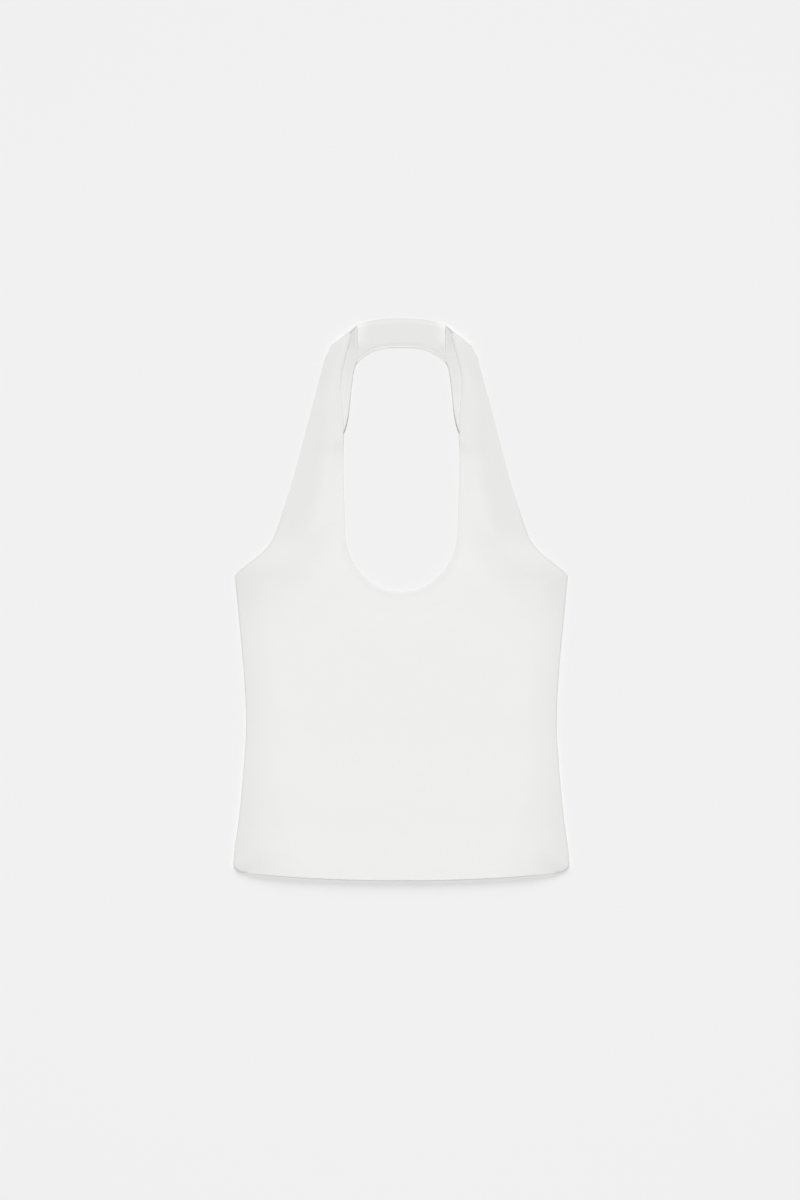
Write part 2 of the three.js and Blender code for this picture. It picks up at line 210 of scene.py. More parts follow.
# Painted shade on the neck band, darker near its top edge, with painted light at its low edge and
# a painted highlight on its raised seams
BAND_PAINTED_SHADE = 0.05
BandEdgePaintedShade = namedtuple("BandEdgePaintedShade", "top top_width low low_width")
BAND_EDGE_PAINTED_SHADE = BandEdgePaintedShade(0.04, 4.0, -0.125, 4.0)
SEAM_PAINTED_HIGHLIGHT = 0.075

# Painted shade beside the strap's neck edge on its return, and round the fold
EdgePaintedShade = namedtuple("EdgePaintedShade", "full width start fade")
EDGE_PAINTED_SHADE = EdgePaintedShade(0.012, 5.0, 470.0, 16.0)
FOLD_PAINTED_SHADE = 0.11

# Back: its flat underside turns up to the side seam, and its top edge dips between the arms
BACK_EDGE = SEAM_HEIGHT - SEAM_GAP / 2
BACK_TURN = 9.0
BACK_TOP_UP = 250.0

# Creases: the places that a soft trough or ridge runs through, its half width and its
# height, which is negative for a trough
Crease = namedtuple("Crease", "places width height")
CREASE_FADES = 3
FRONT_CREASES = [
    Crease([(60, 300), (74, 262), (92, 236)], 26, -0.55),
    Crease([(-60, 300), (-76, 264), (-94, 240)], 25, -0.5),
    Crease([(0, 268), (30, 272), (58, 290)], 11, -0.3),
    Crease([(0, 268), (-28, 271), (-56, 288)], 12, -0.34),
    Crease([(128, 214), (112, 150), (100, 62)], 16, 0.4),
    Crease([(-126, 210), (-110, 140), (-98, 58)], 17, 0.42),
    Crease([(150, 96), (130, 60), (126, 8)], 15, -0.45),
    Crease([(-148, 102), (-131, 58), (-124, 6)], 16, -0.4),
]
BACK_CREASES = [
    Crease([(96, 232), (104, 150), (92, 70)], 15, 0.4),
    Crease([(-92, 226), (-104, 146), (-90, 62)], 16, 0.42),
    Crease([(18, 150), (-6, 104), (10, 48)], 14, 0.32),
    Crease([(134, 108), (126, 62), (130, 22)], 12, 0.34),
    Crease([(-134, 112), (-125, 66), (-131, 26)], 12, 0.3),
]

# Fineness of the meshes
CREASE_STEPS = 13
NECK_COLUMNS = (0.0, 0.12, 0.4, 0.9, 1.8, 3.4, 6.0)
MIDDLE_COLUMNS = 28
SLOPE_COLUMNS = 18
WIDEST_SLOPE = 0.6
ROW_BEND = 2
HEM_SHARES = (0.0, 0.1, 0.18, 0.27, 0.38, 0.52, 0.68, 0.84)
SIDE_STEPS = 92
TOP_EDGE_STEPS = (1.4, 0.5, 0.14)
ROWS_PER_SECTION = 8
FOLD_STEPS = 20
RETURN_STEPS = 26
BAND_STEPS = {"across": 60, "up": 26}
SEAM_POINTS = {"side": 120, "corner": 8, "band": 12}
MERGE_DISTANCE = 2e-6

# How thick a free edge is, as a share of the wall, and how far in from it the cloth thins
ThinEdge = namedtuple("ThinEdge", "share width")
THIN_EDGE = ThinEdge(share=0.5, width=2.6)
THIN_BAND_EDGE = ThinEdge(share=0.34, width=5.0)

# Where the two faces meet at an edge, as a share of the wall from its outside: the least, and
# how much more it is where the outside lies on top
MEETING_LEAST = 0.08
MEETING_MORE = 0.84

# How far each piece is from the line of the neck band's seam, how tight that edge is, and how
# far off a free edge counts as being along a side seam
SEWN_GAP = 0.02
SEWN_TIGHTNESS = 4.0
SEWN_SIDE = 100

# Stitches: where they start on the hem's corner, how far they stay from the neck band's edges
# and how deep they sink into its seam
STITCH_START = 0.25
STITCH_INSET = 1.2
STITCH_SINK = 0.45


def mix(low, high, share):
    return low + (high - low) * share


def ease(share):
    s = np.clip(share, 0.0, 1.0)
    return s * s * (3.0 - 2.0 * s)


def round_rise(share):
    """The height of a round edge, as a share, at a share of its width in from its foot."""
    return np.sqrt(1.0 - (1.0 - np.clip(share, 0.0, 1.0)) ** 2)


def side_rise(share):
    """The height of the side, as a share: a small round turn, then a slope that levels out."""
    levelling = 1 - (1 - np.clip(share, 0, 1)) ** 2
    return mix(levelling, round_rise(share / SIDE_TURN.width), SIDE_TURN.share)


def plan_curve(places, shares):
    """Places at shares from 0 to 1 on a smooth curve through the given places."""
    given = np.asarray(places, float)
    before, after = 2 * given[0] - given[1], 2 * given[-1] - given[-2]
    padded = np.vstack([before, given, after])
    along = np.clip(np.asarray(shares, float), 0, 1) * (len(given) - 1)
    index = np.minimum(along.astype(int), len(given) - 2)
    t = (along - index)[:, None]
    p0, p1, p2, p3 = (padded[index + k] for k in range(4))
    start, end = (p2 - p0) / 2, (p3 - p1) / 2
    cubic = 2 * p1 - 2 * p2 + start + end
    square = 3 * p2 - 3 * p1 - 2 * start - end
    return cubic * t**3 + square * t**2 + start * t + p1


def lay_at(up):
    """How the front lies at these places up."""
    table = np.array(FRONT_LAY)
    ups = table[:, 0]
    low = np.clip(np.searchsorted(ups, up, side="right") - 1, 0, len(ups) - 2)
    share = ease((up - ups[low]) / (ups[low + 1] - ups[low]))
    return Lay(*(mix(column[low], column[low + 1], share) for column in table.T))


def nearest_on(line, places):
    """Distance from each place to a line of places, and how far along the line it is met."""
    line = np.asarray(line, float)
    flat = places.reshape(-1, 2)
    best = np.full(len(flat), np.inf)
    met = np.zeros(len(flat))
    runs = np.linalg.norm(np.diff(line, axis=0), axis=1)
    starts = np.concatenate([[0], np.cumsum(runs)])
    for k, run in enumerate(runs):
        way = (line[k + 1] - line[k]) / run
        along = np.clip((flat - line[k]) @ way, 0, run)
        distance = np.linalg.norm(flat - line[k] - along[:, None] * way, axis=1)
        closer = distance < best
        best[closer] = distance[closer]
        met[closer] = (starts[k] + along[closer]) / starts[-1]
    return best.reshape(places.shape[:-1]), met.reshape(places.shape[:-1])


def crease_height(creases, places):
    """The sum of the creases at these places. Each one fades at its two ends."""
    height = np.zeros(places.shape[:-1])
    for crease in creases:
        line = plan_curve(crease.places, np.linspace(0, 1, CREASE_STEPS))
        distance, along = nearest_on(line, places)
        bell = 0.5 + 0.5 * np.cos(math.pi * np.clip(distance / crease.width, 0, 1))
        faded = bell * ease(along * CREASE_FADES) * ease((1 - along) * CREASE_FADES)
        height += crease.height * faded
    return height


def hem_corner(angle):
    across = HEM_CORNER.across + HEM_CORNER.width * np.sin(angle)
    return np.stack([across, HEM_RISE + HEM_CORNER.height * (1 - np.cos(angle))], axis=1)


def scoop_place(angle):
    up = SCOOP.centre_up - SCOOP.depth * math.cos(angle)
    return (SCOOP.half * math.sin(angle), up)


def body_spans(top_up):
    """Ends of the lower rows: on the centre line, and on the hem's corner or the side seam."""
    corner_top = HEM_RISE + HEM_CORNER.height
    centre_start = corner_top - HEM_RISE / 2
    hem = np.array(HEM_SHARES)
    armpit_up = SIDE_SEAM[-1][1]
    rise = armpit_up - corner_top
    last = 1 - 1 / SIDE_STEPS
    shares = [*np.linspace(0, last, SIDE_STEPS), *(1 - step / rise for step in TOP_EDGE_STEPS), 1]
    side = plan_curve(SIDE_SEAM, shares)
    centre_ups = mix(centre_start, top_up, (side[:, 1] - corner_top) / rise)
    inner_ups = np.concatenate([centre_start * hem**2, centre_ups])
    inner = np.stack([np.zeros(len(inner_ups)), inner_ups], axis=1)
    return inner, np.vstack([hem_corner(hem * RIGHT_ANGLE), side])


def chest_spans():
    """Ends of the upper rows: on the neckline, and on the armhole edge."""
    neck = [scoop_place(math.radians(angle)) for angle, _, _ in CHEST_ROWS]
    arm = [(across, up) for _, across, up in CHEST_ROWS]
    neck += [(row[0], row[1]) for row in STRAP_ROWS] + [FOLD_NECK_END]
    arm += [(row[2], row[3]) for row in STRAP_ROWS] + [FOLD_ARM_END]
    steps = (len(neck) - 1) * ROWS_PER_SECTION
    shares = np.arange(1, steps + 1) / steps
    return plan_curve(neck, shares), plan_curve(arm, shares)


def column_shares(length, slope):
    """Shares along a row, closer together at the neck edge and down the outer slope."""
    slope_width = min(slope, length * WIDEST_SLOPE)
    start = NECK_COLUMNS[-1]
    steps = np.arange(1, MIDDLE_COLUMNS + 1) / MIDDLE_COLUMNS
    middle = mix(start, length - slope_width, steps)
    angles = RIGHT_ANGLE * (1 - np.arange(1, SLOPE_COLUMNS + 1) / SLOPE_COLUMNS)
    outer = length - slope_width * (1 - np.cos(angles))
    return np.concatenate([NECK_COLUMNS, middle, outer]) / length


def span_places(inner, outer, slopes, bends):
    """Places on each row, and the way from its outer end to its inner one."""
    places = []
    backs = []
    for start, end, slope, bend in zip(inner, outer, slopes, bends):
        length = math.dist(start, end)
        shares = column_shares(length, slope)
        across = mix(start[0], end[0], shares)
        places.append(np.stack([across, mix(start[1], end[1], shares**bend)], axis=1))
        backs.append((start - end) / length)
    return np.array(places), np.array(backs)[:, None, :]


def spatial(places, height):
    """Points over places in the plan."""
    return np.stack([places[..., 0], places[..., 1] - LENGTH / 2, height], axis=-1)


# Points of the two faces, places in the flat cut, and the shade and light painted into the
# cloth's colour
Wall = namedtuple("Wall", "outside inside flat dull")


def stacked(*walls):
    return Wall(*(np.concatenate(parts) for parts in zip(*walls)))


def front_painted_shading(places, outer, neck):
    """Painted shade on the front, as a share taken off its colour, by distance from its outer
    edge and
    its neck edge: towards the side seams, on the chest, along the straps and beside the free
    edges."""
    up = places[..., 1]
    near_hem = ease(1 - up / SIDE_PAINTED_SHADE.hem_reach)
    side_width = mix(SIDE_PAINTED_SHADE.width, SIDE_PAINTED_SHADE.hem_width, near_hem)
    side_full = mix(SIDE_PAINTED_SHADE.full, SIDE_PAINTED_SHADE.hem_full, near_hem)
    side = side_full * np.clip(1 - outer / side_width, 0, 1) ** SIDE_POWER
    side *= 1 - ease((up - SIDE_PAINTED_SHADE.top) / SIDE_PAINTED_SHADE.fade)
    chest = ease((up - CHEST_PAINTED_SHADE.start) / CHEST_PAINTED_SHADE.rise)
    chest *= 1 - ease((up - CHEST_PAINTED_SHADE.top) / CHEST_PAINTED_SHADE.fade)
    chest *= 1 - ease((outer - CHEST_PAINTED_SHADE.width) / CHEST_PAINTED_SHADE.falloff)
    inner_part = STRAP_PAINTED_SHADE.inner * ease((up - STRAP_PAINTED_SHADE.inner_start) / STRAP_PAINTED_SHADE.inner_fade)
    outer_part = STRAP_PAINTED_SHADE.outer * ease((up - STRAP_PAINTED_SHADE.outer_start) / STRAP_PAINTED_SHADE.outer_fade)
    slope = lay_at(up).slope
    towards_edge = 1 - ease((outer - slope * OUTER_PART) / (slope * OUTER_PART))
    # Painted shade in the valley beside the strap's neck edge on its return
    on_return = EDGE_PAINTED_SHADE.full * ease((up - EDGE_PAINTED_SHADE.start) / EDGE_PAINTED_SHADE.fade)
    beside_edge = on_return * (1 - ease(neck / EDGE_PAINTED_SHADE.width))
    scoop = SCOOP_PAINTED_SHADE.full * (1 - ease((up - SCOOP_PAINTED_SHADE.top) / SCOOP_PAINTED_SHADE.fade))
    beside_edge += scoop * (1 - ease(neck / SCOOP_PAINTED_SHADE.width))
    arm = ARM_PAINTED_SHADE.full * (1 - ease(outer / ARM_PAINTED_SHADE.width))
    arm *= ease((up - ARM_PAINTED_SHADE.start) / ARM_PAINTED_SHADE.rise)
    arm *= 1 - ease((up - ARM_PAINTED_SHADE.top) / ARM_PAINTED_SHADE.fade)
    beside_edge += arm
    body = side + CHEST_PAINTED_SHADE.full * chest
    return np.maximum(body, mix(inner_part, outer_part, towards_edge)) + beside_edge


FOLD_RUN = np.subtract(FOLD_NECK_END, FOLD_ARM_END)
FOLD_LENGTH = float(np.linalg.norm(FOLD_RUN))
FOLD_ALONG = FOLD_RUN / FOLD_LENGTH
FOLD_OUT = np.array([FOLD_ALONG[1], -FOLD_ALONG[0]])


def beyond_fold(places):
    return (places - np.array(FOLD_ARM_END)) @ FOLD_OUT


def front_wall(places, backs, outer_edge, neck_edge, depth):
    """The front over its places: a round or a flat outer edge, a neck edge that lies down,
    creases."""
    lay = lay_at(places[..., 1])
    outer, _ = nearest_on(outer_edge, places)
    neck, _ = nearest_on(neck_edge, places)
    slope_share = np.minimum(outer / lay.slope, 1)
    free_rise = ease((outer - FLAT_EDGE) / (lay.slope - FLAT_EDGE))
    rise = mix(free_rise, side_rise(slope_share), lay.turned)
    outer_height = mix(lay.edge, lay.crest, rise)
    outer_height += depth * crease_height(FRONT_CREASES, places) * ease(outer / lay.slope)
    laid = mix(lay.neck, outer_height, ease(neck / lay.neck_slope))
    fold_share = ease(1 + beyond_fold(places) / FOLD_REACH)
    height = mix(laid, 2 * FOLD_RADIUS, fold_share)
    turn = (np.arccos(1 - slope_share) / RIGHT_ANGLE) ** LEAN_POWER
    lean = mix(RIGHT_ANGLE * (1 - lay.turned), RIGHT_ANGLE, turn)
    inset = (CLOTH * np.cos(lean))[..., None] * backs
    under = spatial(places + inset, height - CLOTH * np.sin(lean))
    return Wall(spatial(places, height), under, places, front_painted_shading(places, outer, neck))


def drift(amounts, turn):
    sine = math.sin(turn)
    if turn < RIGHT_ANGLE:
        return amounts.halfway * sine
    return mix(amounts.end, amounts.halfway, sine)


def fold_ends(turn):
    """Where the strap's two edges are at a turn round the fold, in the plan."""
    reach = FOLD_RADIUS * math.sin(turn) * FOLD_OUT
    neck = np.array(FOLD_NECK_END) + FOLD_ALONG * drift(NECK_DRIFT, turn) + reach
    arm = np.array(FOLD_ARM_END) + FOLD_ALONG * drift(ARM_DRIFT, turn) + reach
    return neck, arm


def fold_wall(shares):
    """The strap's half turn over the fold line."""
    outside, inside, flat, dull = [], [], [], []
    for step in range(1, FOLD_STEPS + 1):
        turn = math.pi * step / FOLD_STEPS
        neck, arm = fold_ends(turn)
        places = mix(neck, arm, shares[:, None])
        height = np.full(len(shares), FOLD_RADIUS * (1 + math.cos(turn)))
        reach = CLOTH * math.sin(turn) * FOLD_OUT
        outside.append(spatial(places, height))
        inside.append(spatial(places - reach, height - CLOTH * math.cos(turn)))
        on_line = places - FOLD_RADIUS * math.sin(turn) * FOLD_OUT
        flat.append(on_line + FOLD_RADIUS * turn * FOLD_OUT)
        # Painted shade round the fold
        dull.append(np.full(len(shares), STRAP_PAINTED_SHADE.outer + FOLD_PAINTED_SHADE * math.sin(turn)))
    return Wall(*(np.array(part) for part in (outside, inside, flat, dull)))


def band_low_up(across):
    return BAND.low_up - BAND.low_drop * np.abs(across / BAND.half) ** 3


def band_top_up(across):
    return LENGTH - BAND.top_drop * (across / BAND.half) ** 2


def return_wall(shares):
    """The strap's return on the table: a patch between the fold, the band's seam, the edge
    that shows and the edge that the strap hides."""
    neck, arm = fold_ends(math.pi)
    seam_across = BAND.half + SEWN_GAP
    seam_foot = np.array([seam_across, band_low_up(seam_across)])
    tip = np.array(RETURN_EDGE[-1])
    down = (np.arange(1, RETURN_STEPS + 1) / RETURN_STEPS)[:, None, None]
    across = shares[None, :, None]
    shown = plan_curve([seam_foot, *RETURN_EDGE], shares)[None]
    hidden = plan_curve([arm, *RETURN_HIDDEN_EDGE, tip], down[:, 0, 0])[:, None]
    fold = mix(neck, arm, across)
    from_fold = mix(fold, shown, down)
    from_seam = mix(mix(neck, seam_foot, down), hidden, across)
    corners = mix(fold, mix(seam_foot, tip, across), down)
    places = from_fold + from_seam - corners
    turned_back = beyond_fold(places)[..., None] * FOLD_OUT
    flat = places - 2 * turned_back + math.pi * FOLD_RADIUS * FOLD_OUT
    level = np.zeros(places.shape[:-1])
    # Painted shade: darker towards the fold and in the pocket beside the neck band
    in_pocket = ease((places[..., 1] - POCKET_PAINTED_SHADE.start) / POCKET_PAINTED_SHADE.fade)
    towards_fold = ease((places[..., 1] - RETURN_PAINTED_SHADE.start) / RETURN_PAINTED_SHADE.rise)
    dull = mix(RETURN_PAINTED_SHADE.low, RETURN_PAINTED_SHADE.high, towards_fold) + POCKET_PAINTED_SHADE.full * in_pocket
    return Wall(spatial(places, level), spatial(places, level + CLOTH), flat, dull)


def run_lengths(points, axis):
    """Length walked along the rows or the columns of points, from the first one."""
    steps = np.linalg.norm(np.diff(points, axis=axis), axis=-1)
    start = np.zeros_like(np.take(steps, [0], axis=axis))
    return np.concatenate([start, np.cumsum(steps, axis=axis)], axis=axis)


def shape_edges(wall, free, turned, radius, thin=THIN_EDGE):
    """Draws the two faces together before an edge: a free edge thins out and is round, and a
    turned one is only round. They meet near the lower or the outer one, so the edge lies down."""
    drop = (wall.outside - wall.inside)[..., 2:] / CLOTH
    meeting = mix(wall.outside, wall.inside, MEETING_LEAST + MEETING_MORE * np.clip(drop, 0, 1))
    thinned = mix(thin.share, 1, ease(free / thin.width))
    full = (thinned * round_rise(np.minimum(free, turned) / radius))[..., None]
    outside = meeting + (wall.outside - meeting) * full
    inside = meeting + (wall.inside - meeting) * full
    return wall._replace(outside=outside, inside=inside)


def wall_object(name, wall, materials):
    """A closed, mirrored mesh of a wall whose faces meet at each free edge."""
    rows, columns = wall.outside.shape[:2]
    count = rows * columns
    grid = np.arange(count).reshape(rows, columns)
    quads = np.stack([grid[:-1, :-1], grid[:-1, 1:], grid[1:, 1:], grid[1:, :-1]], axis=-1)
    quads = quads.reshape(-1, 4)
    half = np.concatenate([wall.outside.reshape(-1, 3), wall.inside.reshape(-1, 3)])
    half_faces = np.concatenate([quads, quads[:, ::-1] + count])
    points = np.concatenate([half, half * (-1, 1, 1)]) * MM
    faces = np.concatenate([half_faces, half_faces[:, ::-1] + 2 * count])
    flat = np.tile(wall.flat.reshape(-1, 2), (2, 1))
    flat = np.concatenate([flat, flat * (-1, 1)]) * MM
    is_inside = (faces.min(axis=1) // count) % 2

    mesh = bpy.data.meshes.new(name)
    mesh.from_pydata(points.tolist(), [], faces.tolist())
    for material in materials:
        mesh.materials.append(material)
    mesh.polygons.foreach_set("material_index", is_inside.astype(np.int32))
    corners = np.empty(len(mesh.loops), np.int32)
    mesh.loops.foreach_get("vertex_index", corners)
    uv = mesh.uv_layers.new(name="cut")
    uv.data.foreach_set("uv", flat[corners].ravel())
    # Painted shade and light: the share taken off the cloth's colour at each point, negative
    # where light is painted
    painted_shading = mesh.attributes.new("painted_shading", "FLOAT", "POINT")
    painted_shading.data.foreach_set("value", np.tile(wall.dull.ravel(), 4).astype(np.float32))

    bm = bmesh.new()
    bm.from_mesh(mesh)
    bmesh.ops.remove_doubles(bm, verts=bm.verts, dist=MERGE_DISTANCE)
    bmesh.ops.dissolve_degenerate(bm, edges=bm.edges, dist=MERGE_DISTANCE)
    bmesh.ops.recalc_face_normals(bm, faces=bm.faces)
    open_edges = sum(1 for edge in bm.edges if len(edge.link_faces) != 2)
    for face in bm.faces:
        face.smooth = True
    bm.to_mesh(mesh)
    bm.free()
    if open_edges:
        raise RuntimeError(f"{name} has {open_edges} edges that aren't shared by two faces")
    piece = bpy.data.objects.new(name, mesh)
    bpy.context.scene.collection.objects.link(piece)
    return piece


def declare_cloth(piece, node):
    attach(piece, "root")
    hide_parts(node)


def build_front(cut, materials):
    lower_inner, lower_outer = body_spans(SCOOP.centre_up - SCOOP.depth)
    upper_inner, upper_outer = chest_spans()
    outer_edge = np.vstack([lower_outer, upper_outer])
    neck_edge = np.vstack([lower_inner[-1:], upper_inner])
    count = len(upper_inner)
    upper_bends = ROW_BEND - ease(np.arange(count) / count)
    bends = np.concatenate([np.full(len(lower_inner), ROW_BEND), upper_bends])
    slopes = lay_at(outer_edge[:, 1]).slope
    inner = np.vstack([lower_inner, upper_inner])
    places, backs = span_places(inner, outer_edge, slopes, bends)
    body = front_wall(places, backs, outer_edge, neck_edge, cut.crease_depth)
    fold_slope = float(lay_at(FOLD_ARM_END[1]).slope)
    shares = column_shares(FOLD_LENGTH, fold_slope)
    wall = stacked(body, fold_wall(shares), return_wall(shares))

    middle = (wall.outside + wall.inside) / 2
    from_inner = run_lengths(middle, 1)
    from_outer = from_inner[:, -1:] - from_inner
    down_columns = run_lengths(middle, 0)
    from_end = down_columns[-1:] - down_columns
    neck_distance, _ = nearest_on(neck_edge, places)
    below_body = from_inner[len(places):]
    in_return = (np.arange(len(below_body)) >= FOLD_STEPS)[:, None]
    from_neck = np.concatenate([neck_distance, np.where(in_return, np.inf, below_body)])
    from_seam = np.full(from_outer.shape, np.inf)
    from_seam[len(places):] = np.where(in_return, below_body * SEWN_TIGHTNESS, np.inf)
    sewn_side = np.zeros(from_outer.shape)
    sewn_side[:len(places)] = lay_at(places[..., 1]).turned * SEWN_SIDE
    free = np.minimum.reduce([from_neck, from_outer + sewn_side, from_end])
    turned = np.minimum.reduce([from_outer, down_columns, from_seam])
    return_start = len(places) + FOLD_STEPS
    below_strap, _ = nearest_on(neck_edge - (0, LENGTH / 2), wall.outside[return_start:, :, :2])
    # Painted light along the return's shown edge and below the strap's edge
    dull = wall.dull - RETURN_EDGE_PAINTED_LIGHT.full * (1 - ease(from_end / RETURN_EDGE_PAINTED_LIGHT.width))
    below = BELOW_STRAP_PAINTED_LIGHT.full * (1 - ease(below_strap / BELOW_STRAP_PAINTED_LIGHT.width))
    dull[return_start:] -= below
    wall = wall._replace(dull=dull)
    wall = shape_edges(wall, free, turned, cut.edge_round / MM)
    piece = wall_object("front_jersey", wall, materials)
    declare_cloth(piece, "front_panel")


def build_back(cut, materials):
    inner, outer = body_spans(BACK_TOP_UP)
    count = len(inner)
    places, backs = span_places(inner, outer, np.full(count, BACK_TURN), np.full(count, ROW_BEND))
    distance, _ = nearest_on(outer, places)
    share = np.minimum(distance / BACK_TURN, 1)
    rise = round_rise(share)
    under = BACK_EDGE * (1 - rise)
    inset = (CLOTH * (1 - share))[..., None] * backs
    under = under + cut.crease_depth * crease_height(BACK_CREASES, places)
    upper = spatial(places + inset, under + CLOTH * rise)
    # Painted shade beside the side seams
    dull = SIDE_PAINTED_SHADE.full * np.clip(1 - distance / SIDE_PAINTED_SHADE.width, 0, 1)
    wall = Wall(spatial(places, under), upper, places, dull)
    middle = (wall.outside + wall.inside) / 2
    from_inner = run_lengths(middle, 1)
    down_columns = run_lengths(middle, 0)
    turned = np.minimum(from_inner[:, -1:] - from_inner, down_columns)
    free = down_columns[-1:] - down_columns
    wall = shape_edges(wall, free, turned, cut.edge_round / MM)
    piece = wall_object("back_jersey", wall, materials)
    declare_cloth(piece, "back_panel")


def band_wall():
    """The neck band: its lower edge stands a little off the table, its seams are thicker."""
    half = BAND.half - SEWN_GAP
    angles = RIGHT_ANGLE * np.arange(BAND_STEPS["across"] + 1) / BAND_STEPS["across"]
    across = (half * np.sin(angles))[None, :]
    share = (0.5 - 0.5 * np.cos(math.pi * np.linspace(0, 1, BAND_STEPS["up"] + 1)))[:, None]
    up = mix(band_low_up(across), band_top_up(across), share)
    lift = BAND.lift * (1 - share) ** 2 * (1 - (across / half) ** 4)
    near_seam = ease(1 - (half - across) / BAND_SEAM_RIDGE.width)
    above_foot = ease((up - BAND_SEAM_RIDGE.foot_up) / BAND_SEAM_RIDGE.foot_width)
    thickness = CLOTH + BAND_SEAM_RIDGE.height * near_seam * above_foot
    places = np.stack(np.broadcast_arrays(across, up), axis=-1)
    # Painted shade on the band, a painted highlight on its raised seams, painted shade near its
    # top edge and painted light at its low edge
    dull = BAND_PAINTED_SHADE - SEAM_PAINTED_HIGHLIGHT * near_seam * above_foot
    from_top = (band_top_up(across) - up) / BAND_EDGE_PAINTED_SHADE.top_width
    from_low = (up - band_low_up(across)) / BAND_EDGE_PAINTED_SHADE.low_width
    dull = dull + BAND_EDGE_PAINTED_SHADE.top * (1 - ease(from_top))
    dull = dull + BAND_EDGE_PAINTED_SHADE.low * (1 - ease(from_low))
    return Wall(spatial(places, lift + thickness), spatial(places, lift), places, dull)


def build_band(cut, materials):
    wall = band_wall()
    middle = (wall.outside + wall.inside) / 2
    from_centre = run_lengths(middle, 1)
    up_columns = run_lengths(middle, 0)
    from_seam = (from_centre[:, -1:] - from_centre) * SEWN_TIGHTNESS
    free = np.minimum(up_columns, up_columns[-1:] - up_columns)
    wall = shape_edges(wall, free, from_seam, cut.edge_round / MM, THIN_BAND_EDGE)
    piece = wall_object("band_jersey", wall, materials)
    declare_cloth(piece, "neck_band")


def node_at(tree, kind, **settings):
    node = tree.nodes.new(kind)
    for name, value in settings.items():
        setattr(node, name, value)
    return node


def math_node(tree, operation, first, second=None):
    node = node_at(tree, "ShaderNodeMath", operation=operation)
    for socket, value in zip(node.inputs, (first, second)):
        if isinstance(value, (int, float)):
            socket.default_value = value
        elif value is not None:
            tree.links.new(value, socket)
    return node.outputs[0]


def jersey_material(name, colour, finish):
    """Fine jersey: rows of small V stitches in the cut's own grain, with a faint mottle."""
    material = bpy.data.materials.new(name)
    material.use_nodes = True
    tree = material.node_tree
    shader = tree.nodes["Principled BSDF"]
    shader.inputs["Roughness"].default_value = finish.roughness
    shader.inputs["Specular IOR Level"].default_value = 0.25
    shader.inputs["Sheen Weight"].default_value = finish.sheen
    shader.inputs["Sheen Roughness"].default_value = 0.6

    grain = node_at(tree, "ShaderNodeUVMap", uv_map="cut")
    stitches = node_at(tree, "ShaderNodeMapping")
    pitches = (1 / finish.wale_pitch, 1 / finish.course_pitch, 1)
    stitches.inputs["Scale"].default_value = pitches
    tree.links.new(grain.outputs["UV"], stitches.inputs["Vector"])
    split = node_at(tree, "ShaderNodeSeparateXYZ")
    tree.links.new(stitches.outputs["Vector"], split.inputs[0])
    wale = math_node(tree, "PINGPONG", split.outputs["X"], 0.5)
    slant = math_node(tree, "MULTIPLY_ADD", wale, 1.0)
    tree.links.new(split.outputs["Y"], slant.node.inputs[2])
    loop = math_node(tree, "PINGPONG", slant, 0.5)
    height = math_node(tree, "ADD", math_node(tree, "MULTIPLY", wale, 1.2), loop)

    soft = node_at(tree, "ShaderNodeTexCoord")
    puckers = node_at(tree, "ShaderNodeTexNoise")
    puckers.inputs["Scale"].default_value = 60.0
    puckers.inputs["Detail"].default_value = 2.0
    tree.links.new(soft.outputs["Object"], puckers.inputs["Vector"])
    unevenness = node_at(tree, "ShaderNodeBump")
    unevenness.inputs["Strength"].default_value = 0.25
    unevenness.inputs["Distance"].default_value = 0.0006
    tree.links.new(puckers.outputs["Fac"], unevenness.inputs["Height"])
    bump = node_at(tree, "ShaderNodeBump")
    bump.inputs["Strength"].default_value = finish.knit_depth
    bump.inputs["Distance"].default_value = 0.0002
    tree.links.new(height, bump.inputs["Height"])
    tree.links.new(unevenness.outputs["Normal"], bump.inputs["Normal"])
    tree.links.new(bump.outputs["Normal"], shader.inputs["Normal"])

    mottle = node_at(tree, "ShaderNodeTexNoise")
    mottle.inputs["Scale"].default_value = 900.0
    mottle.inputs["Detail"].default_value = 3.0
    tree.links.new(soft.outputs["Object"], mottle.inputs["Vector"])
    shades = node_at(tree, "ShaderNodeMix", data_type="RGBA")
    tree.links.new(mottle.outputs["Fac"], shades.inputs["Factor"])
    shades.inputs["A"].default_value = (*(c * (1 - finish.mottle) for c in colour), 1)
    shades.inputs["B"].default_value = (*(min(c * (1 + finish.mottle), 1) for c in colour), 1)
    # Painted shade and light: the colour is multiplied by one less the painted shading share
    painted_shading = node_at(tree, "ShaderNodeAttribute", attribute_name="painted_shading")
    kept = math_node(tree, "SUBTRACT", 1.0, painted_shading.outputs["Fac"])
    painted_base_colour = node_at(tree, "ShaderNodeMix", data_type="RGBA", blend_type="MULTIPLY")
    painted_base_colour.inputs["Factor"].default_value = 1.0
    tree.links.new(shades.outputs["Result"], painted_base_colour.inputs["A"])
    tree.links.new(kept, painted_base_colour.inputs["B"])
    tree.links.new(painted_base_colour.outputs["Result"], shader.inputs["Base Color"])
    return material


def plain_material(name, colour, roughness):
    material = bpy.data.materials.new(name)
    material.use_nodes = True
    shader = material.node_tree.nodes["Principled BSDF"]
    shader.inputs["Base Color"].default_value = (*colour, 1)
    shader.inputs["Roughness"].default_value = roughness
    shader.inputs["Specular IOR Level"].default_value = 0.2
    return material


